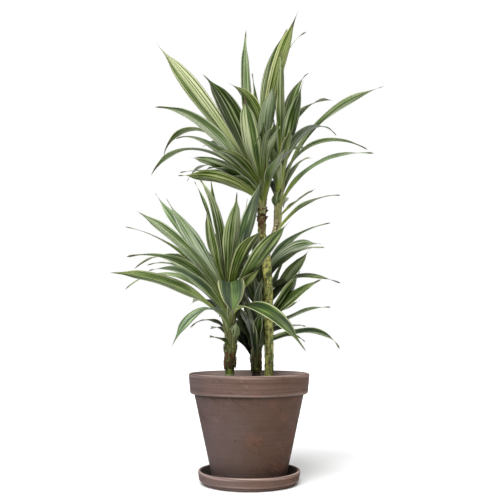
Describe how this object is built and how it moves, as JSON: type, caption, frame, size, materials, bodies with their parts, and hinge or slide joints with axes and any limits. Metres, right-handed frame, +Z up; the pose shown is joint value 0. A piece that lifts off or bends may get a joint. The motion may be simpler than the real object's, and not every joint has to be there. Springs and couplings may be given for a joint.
{
  "type": "potted corn plant",
  "caption": "Corn plant with striped sword-shaped leaves in crowns on upright canes, rooted in soil in a round clay pot that stands on a saucer.",
  "frame": {"origin": "middle of the saucer's flat underside, on the surface that the plant stands on", "axes": "+Z up along the pot's axis, +X to the right and +Y to the back of the front view"},
  "size_m": [0.6212, 0.6017, 1.0978],
  "materials": {
    "clay": "matte unglazed brown clay with a purple-grey bloom",
    "soil": "damp, crumbly potting soil",
    "cane_green": "satin green to tan cane with brown rings",
    "cane_brown": "rough dark brown bark",
    "leaf": "satin green leaf with cream stripes and margins"
  },
  "bodies": {
    "root": {"saucer": "clay", "pot": "clay", "soil": "soil", "cane_left": "cane_green", "cane_middle": "cane_brown", "cane_right": "cane_green", "foliage_left": "leaf", "foliage_middle": "leaf", "foliage_right_low": "leaf", "foliage_right_high": "leaf"}
  },
  "joints": []
}
